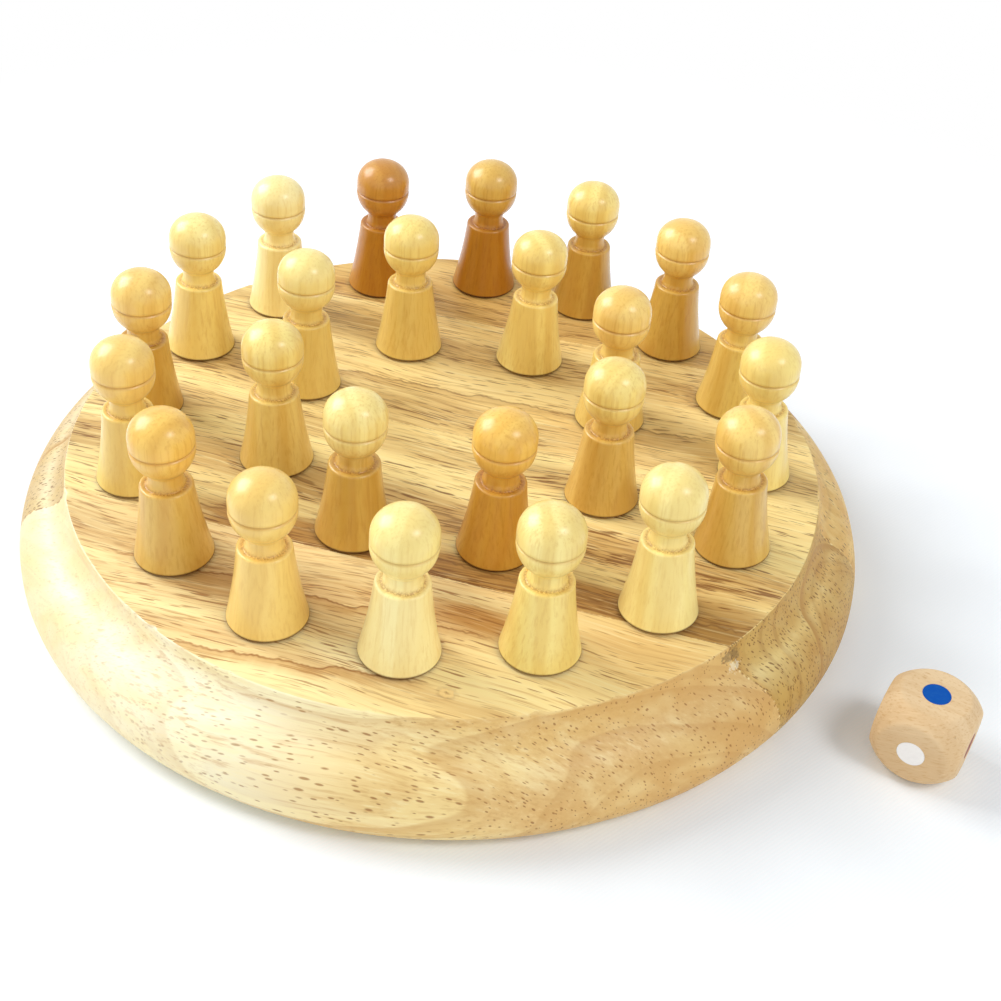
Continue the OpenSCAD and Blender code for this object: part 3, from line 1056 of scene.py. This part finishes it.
def make_paint():
    """Gives each colour mark and colour spot its paint."""
    finishes = {name: paint_finish(name) for name in PAINT_ORDER}
    for i in range(PEG_COUNT):
        colour = PAINT_ORDER[(i * (len(PAINT_ORDER) - 1) + i // len(PAINT_ORDER)) % 6]
        give(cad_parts["mark_%02d" % (i + 1)], finishes[colour])
    for name in PAINT_ORDER:
        give(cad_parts["spot_" + name], finishes[name])


def give(item, material):
    """Puts one material into every material slot of an object."""
    if not item.material_slots:
        item.data.materials.append(material)
    for place in item.material_slots:
        place.material = material


# ---------------------------------------------------------------- table, light and camera

TABLE_REACH = 4000.0
TABLE_DROP = 0.05
CLOTH_FADES = (0.17, 0.34)
LOOK_AT = (0, 0, 0.03)
ROOM_LEVELS = (0.95, 0.28)
ROOM_SLOPE = 0.35
CAMERA_PLACE = (0.00012, -0.3146, 0.2623)
CAMERA_LOOKS_AT = (0.01398, -0.02215, 0.028)
CAMERA_ROLL = 0.0789
CAMERA_LENS = 53.935


def cloth_finish():
    """White cotton cloth, seen bright and fading to plain white away from the game."""
    f = Finish("table_cloth")
    place = f.turn(f.place(), scale=(1000, 1000, 1000), rotate=(0, 0, 0.9))
    weave = f.add("ShaderNodeTexWave", {"Vector": place, "Scale": 0.36, "Distortion": 1.5,
                                        "Detail": 2}, bands_direction="X").outputs["Fac"]
    cloud = f.noise(place, 0.03, 3)
    seen = f.seen()
    plain = f.mix(f.fade(cloud, 0.3, 0.7), (0.80, 0.80, 0.79, 1), (0.84, 0.84, 0.83, 1))
    shown = f.times(weave, cloud, 0.16)
    bright = f.mix(shown, (0.99, 1.04, 1.09, 1), (0.7, 0.7, 0.72, 1))
    f.set(base_color=(0.8, 0.8, 0.8, 1), roughness=0.95)
    matt = f.add("ShaderNodeBsdfDiffuse", {
        "Color": f.mix(seen, plain, bright), "Normal": f.bump(weave, 0.0001, 0.12)})
    white = f.add("ShaderNodeEmission", {"Color": (1, 1, 1, 1), "Strength": 1.0})
    away = f.add("ShaderNodeVectorMath", {0: f.place()}, operation="LENGTH").outputs["Value"]
    whole = f.add("ShaderNodeMixShader", {
        0: f.times(seen, f.fade(away, *CLOTH_FADES)),
        1: matt.outputs[0], 2: white.outputs[0]})
    f.put(f.out.inputs["Surface"], whole.outputs[0])
    return f.material


def make_table():
    """A wide flat sheet of cloth under the game."""
    corners = ((-1, -1), (1, -1), (1, 1), (-1, 1))
    verts = [(x * TABLE_REACH, y * TABLE_REACH, -TABLE_DROP) for x, y in corners]
    table = new_object("table_cloth", verts, [(0, 1, 2, 3)])
    table.data.materials.append(cloth_finish())


def aim(item, target, roll=0.0):
    """Turns a lamp or the camera so that it looks along its -Z at a point, with some roll."""
    way = (Vector(target) - item.location).normalized()
    right = way.cross(Vector((0, 0, 1))).normalized()
    up = right.cross(way)
    a = right * np.cos(roll) + up * np.sin(roll)
    b = up * np.cos(roll) - right * np.sin(roll)
    item.rotation_euler = Matrix((a, b, -way)).transposed().to_euler()


def softbox(name, place, size, power):
    """A square lamp that looks at the middle of the board."""
    lamp = bpy.data.lights.new(name, "AREA")
    lamp.shape = "RECTANGLE"
    lamp.size, lamp.size_y = size
    lamp.energy = power
    item = bpy.data.objects.new(name, lamp)
    bpy.context.collection.objects.link(item)
    item.location = place
    aim(item, LOOK_AT)


def make_light():
    """A broad softbox on the left, a smaller one on the right and a white room.

    The room is brightest at the horizon and in front, and its level falls towards the zenith.
    """
    softbox("key_softbox", place=(-0.87, 0.40, 0.79), size=(0.8, 0.7), power=13.0)
    softbox("side_softbox", place=(0.63, -0.46, 0.96), size=(0.36, 0.36), power=3.8)
    world = bpy.data.worlds.new("studio")
    bpy.context.scene.world = world
    world.use_nodes = True
    w = Nodes(world.node_tree)
    way = w.split(w.add("ShaderNodeNewGeometry").outputs["Incoming"])
    height = w.add("ShaderNodeMapRange", {
        "Value": way[2], "From Min": 0.0, "From Max": -1.0,
        "To Min": ROOM_LEVELS[0], "To Max": ROOM_LEVELS[1]}).outputs["Result"]
    front = w.math("ADD", w.times(way[1], ROOM_SLOPE), 1.0)
    level = w.add("ShaderNodeMapRange", {
        "Value": w.seen(), "To Min": w.times(height, front), "To Max": 1.0})
    back = world.node_tree.nodes["Background"]
    w.put(back.inputs["Strength"], level.outputs["Result"])
    w.put(back.inputs["Color"], (1, 1, 1, 1))


def make_camera():
    """Looks down on the board from the player's side, turned a little on its own axis."""
    lens = bpy.data.cameras.new("camera")
    lens.lens = CAMERA_LENS
    lens.sensor_width = 36.0
    lens.clip_start = 0.01
    lens.clip_end = 20.0
    camera = bpy.data.objects.new("camera", lens)
    bpy.context.collection.objects.link(camera)
    camera.location = CAMERA_PLACE
    aim(camera, CAMERA_LOOKS_AT, CAMERA_ROLL)
    bpy.context.scene.camera = camera


make_board()
make_pegs()
make_die()
make_paint()
make_table()
make_light()
make_camera()
bpy.context.scene.view_settings.view_transform = "Standard"
